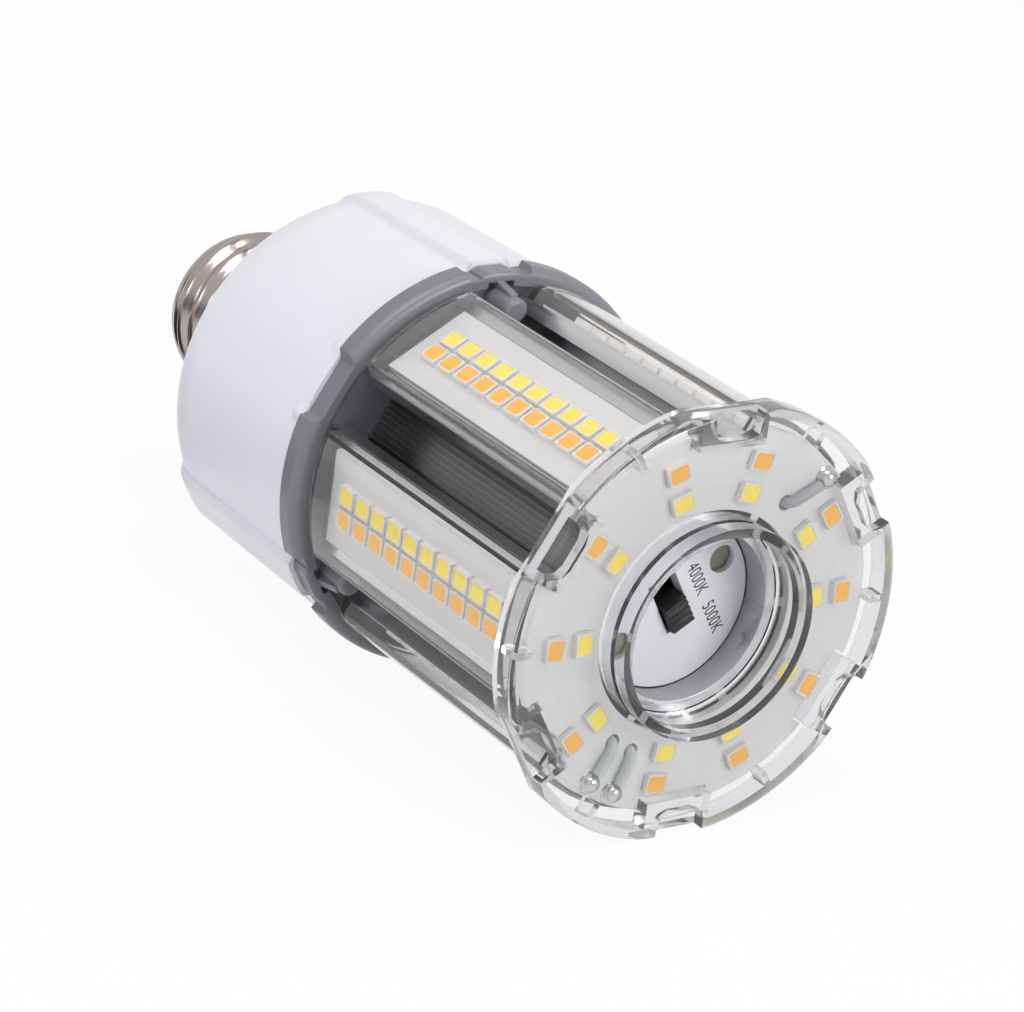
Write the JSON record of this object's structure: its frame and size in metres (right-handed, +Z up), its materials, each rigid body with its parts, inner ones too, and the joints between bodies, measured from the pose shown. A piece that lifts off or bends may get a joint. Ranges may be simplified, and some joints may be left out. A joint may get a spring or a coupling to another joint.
{
  "type": "corn led bulb",
  "caption": "Corn LED bulb with a screw base, a finned heat sink faced with light strips under clear covers, a lit front ring and a slide switch in its open middle.",
  "frame": {"origin": "bottom centre of the bounding box, with the bulb lying on its side as it rests", "axes": "+Y along the bulb axis towards the screw base; the lit front ring faces -Y; +Z up"},
  "size_m": [0.062, 0.1318, 0.0605],
  "materials": {
    "nickel_shell": "satin nickel plate",
    "black_insulator": "glossy",
    "contact_metal": "satin",
    "white_housing": "satin",
    "grey_collar": "satin",
    "extruded_aluminium": "plain extrusion",
    "white_board": "white solder mask",
    "clear_plastic": "clear",
    "cool_phosphor": "silicone",
    "warm_phosphor": "silicone",
    "solder": "bright",
    "grey_insulation": "matte",
    "white_insulation": "matte",
    "white_plate": "satin",
    "black_plastic": "matte",
    "screw_steel": "plain",
    "green_board": "solder mask",
    "yellow_tape": "tape",
    "capacitor_sleeve": "sleeve",
    "red_insulation": "matte"
  },
  "bodies": {
    "bulb": {"screw_shell": "nickel_shell", "base_insulator": "black_insulator", "end_contact": "contact_metal", "driver_housing": "white_housing", "collar": "grey_collar", "heat_sink": "extruded_aluminium", "front_board": "white_board", "warm_lights_front": "warm_phosphor", "cool_lights_front": "cool_phosphor", "solder_joints": "solder", "lead_grey": "grey_insulation", "lead_white_1": "white_insulation", "lead_white_2": "white_insulation", "front_cap": "clear_plastic", "switch_plate": "white_plate", "switch_body": "black_plastic", "switch_board": "green_board", "plate_screws": "screw_steel", "collar_screws": "screw_steel", "driver_board": "green_board", "driver_transformer": "yellow_tape", "driver_capacitor": "capacitor_sleeve", "driver_choke": "black_plastic", "driver_chips": "black_plastic", "supply_lead": "red_insulation", "return_lead": "white_insulation", "strip_board_a": "white_board", "strip_cover_a": "clear_plastic", "cool_lights_a": "cool_phosphor", "warm_lights_a": "warm_phosphor", "strip_board_b": "white_board", "strip_cover_b": "clear_plastic", "cool_lights_b": "cool_phosphor", "warm_lights_b": "warm_phosphor", "strip_board_c": "white_board", "strip_cover_c": "clear_plastic", "cool_lights_c": "cool_phosphor", "warm_lights_c": "warm_phosphor", "strip_board_d": "white_board", "strip_cover_d": "clear_plastic", "cool_lights_d": "cool_phosphor", "warm_lights_d": "warm_phosphor", "strip_board_e": "white_board", "strip_cover_e": "clear_plastic", "cool_lights_e": "cool_phosphor", "warm_lights_e": "warm_phosphor", "strip_board_f": "white_board", "strip_cover_f": "clear_plastic", "cool_lights_f": "cool_phosphor", "warm_lights_f": "warm_phosphor"},
    "knob": {"switch_knob": "black_plastic"}
  },
  "joints": [
    {"name": "switch_slide", "type": "slide", "parent": "bulb", "child": "knob", "axis": [-0.5, 0, 0.866], "range_m": [0, 0.0032]}
  ]
}
